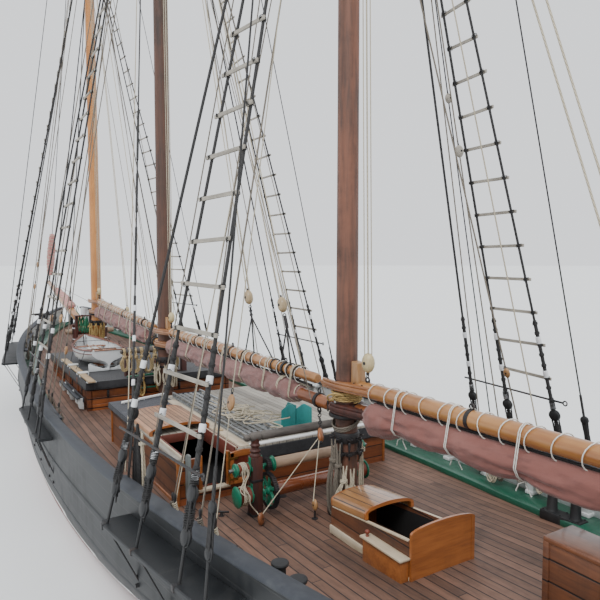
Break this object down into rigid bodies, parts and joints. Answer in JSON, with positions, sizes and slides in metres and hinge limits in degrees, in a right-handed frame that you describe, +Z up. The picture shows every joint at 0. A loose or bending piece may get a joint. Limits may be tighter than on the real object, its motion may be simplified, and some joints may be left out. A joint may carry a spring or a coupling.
{
  "type": "three-masted gaff schooner",
  "caption": "Wooden three-masted gaff schooner afloat, whole hull with rudder and propeller, sails furled on swinging booms, deckhouse, winch and ship's boat.",
  "frame": {"origin": "on the waterline, on the centreline amidships, just forward of the main mast", "axes": "+X towards the bow, +Y to port, +Z up"},
  "size_m": [38.7194, 7.69, 30],
  "materials": {
    "hull_paint": "painted, satin",
    "deck_teak": "bare planks, scrubbed",
    "green_paint": "painted, gloss",
    "white_paint": "painted, gloss",
    "varnished_wood": "varnished",
    "dark_mast_wood": "weathered",
    "pale_mast_wood": "varnished",
    "sail_cloth": "woven, matt",
    "tarred_rigging": "tarred, matt",
    "hatch_wood": "oiled, worn",
    "boat_paint": "painted, gloss",
    "teal_paint": "painted, satin",
    "alloy": "brushed",
    "red_brown_wood": "painted, worn",
    "bronze": "cast",
    "black_iron": "painted, satin"
  },
  "bodies": {
    "ship": {"hull": "hull_paint", "deck": "deck_teak", "waterway_port": "green_paint", "waterway_starboard": "green_paint", "bulwark_port": "white_paint", "bulwark_starboard": "white_paint", "taffrail": "white_paint", "bowsprit": "pale_mast_wood", "forestay": "tarred_rigging", "jibstay": "tarred_rigging", "triatic_fore": "tarred_rigging", "triatic_main": "tarred_rigging", "headsail": "sail_cloth", "hatch_main": "hatch_wood", "boat": "boat_paint", "deckhouse": "varnished_wood", "gangway": "alloy", "light_box": "teal_paint", "companion": "varnished_wood", "winch_frame": "red_brown_wood", "windlass_frame": "red_brown_wood", "wheel_box": "varnished_wood", "bitts_port": "black_iron", "bitts_starboard": "black_iron", "anchor_port": "black_iron", "anchor_starboard": "black_iron", "mast_fore": "pale_mast_wood", "topmast_fore": "pale_mast_wood", "shrouds_fore_port": "tarred_rigging", "shrouds_fore_starboard": "tarred_rigging", "mast_main": "dark_mast_wood", "topmast_main": "dark_mast_wood", "shrouds_main_port": "tarred_rigging", "shrouds_main_starboard": "tarred_rigging", "mast_mizzen": "dark_mast_wood", "topmast_mizzen": "dark_mast_wood", "shrouds_mizzen_port": "tarred_rigging", "shrouds_mizzen_starboard": "tarred_rigging"},
    "fore_boom": {"boom_fore": "varnished_wood", "gaff_fore": "varnished_wood", "sail_fore": "sail_cloth"},
    "main_boom": {"boom_main": "varnished_wood", "gaff_main": "varnished_wood", "sail_main": "sail_cloth"},
    "mizzen_boom": {"boom_mizzen": "varnished_wood", "gaff_mizzen": "varnished_wood", "sail_mizzen": "sail_cloth"},
    "winch_upper": {"winch_upper_barrel": "varnished_wood"},
    "winch_lower": {"winch_lower_barrel": "varnished_wood"},
    "windlass": {"windlass_barrel": "green_paint"},
    "rudder_body": {"rudder": "hull_paint"},
    "helm": {"wheel": "varnished_wood"},
    "propeller_body": {"propeller": "bronze"},
    "house_hood": {"deckhouse_hood": "varnished_wood"},
    "house_door": {"deckhouse_door": "red_brown_wood"},
    "companion_lid": {"companion_hood": "varnished_wood"}
  },
  "joints": [
    {"name": "fore_boom_swing", "type": "hinge", "parent": "ship", "child": "fore_boom", "pos_m": [8.7, 0, 3.48], "axis": [0, 0, 1], "range_deg": [-40, 40]},
    {"name": "main_boom_swing", "type": "hinge", "parent": "ship", "child": "main_boom", "pos_m": [-0.1, 0, 3.2], "axis": [0, 0, 1], "range_deg": [-40, 40]},
    {"name": "mizzen_boom_swing", "type": "hinge", "parent": "ship", "child": "mizzen_boom", "pos_m": [-8.9, 0, 3.24], "axis": [0, 0, 1], "range_deg": [-40, 40]},
    {"name": "winch_lower_spin", "type": "hinge", "parent": "ship", "child": "winch_lower", "pos_m": [-8.26, 0, 1.9], "axis": [0, 1, 0], "continuous": true},
    {"name": "winch_upper_spin", "type": "hinge", "parent": "ship", "child": "winch_upper", "pos_m": [-8.2, 0, 2.3], "axis": [0, 1, 0], "continuous": true},
    {"name": "windlass_spin", "type": "hinge", "parent": "ship", "child": "windlass", "pos_m": [10.12, 0, 2.52], "axis": [0, 1, 0], "continuous": true},
    {"name": "rudder_turn", "type": "hinge", "parent": "ship", "child": "rudder_body", "pos_m": [-13.08, 0, 0], "axis": [0, 0, 1], "range_deg": [-35, 35]},
    {"name": "helm_turn", "type": "hinge", "parent": "ship", "child": "helm", "pos_m": [-13.5, 0, 2.59129], "axis": [1, 0, 0], "range_deg": [-540, 540]},
    {"name": "propeller_spin", "type": "hinge", "parent": "ship", "child": "propeller_body", "pos_m": [-12.36, 0, -1.25], "axis": [1, 0, 0], "continuous": true},
    {"name": "house_hood_slide", "type": "slide", "parent": "ship", "child": "house_hood", "axis": [1, 0, 0], "range_m": [-1.35, 0]},
    {"name": "house_door_swing", "type": "hinge", "parent": "ship", "child": "house_door", "pos_m": [-7.282, 1.28, 1.8], "axis": [0, 0, 1], "range_deg": [-180, 0]},
    {"name": "companion_slide", "type": "slide", "parent": "ship", "child": "companion_lid", "axis": [0.9954, 0, -0.0958], "range_m": [-0.8, 0]}
  ],
  "couplings": [
    {"joint": "winch_upper_spin", "follows": "winch_lower_spin", "ratio": -2.7885},
    {"joint": "helm_turn", "follows": "rudder_turn", "ratio": 15.42}
  ]
}
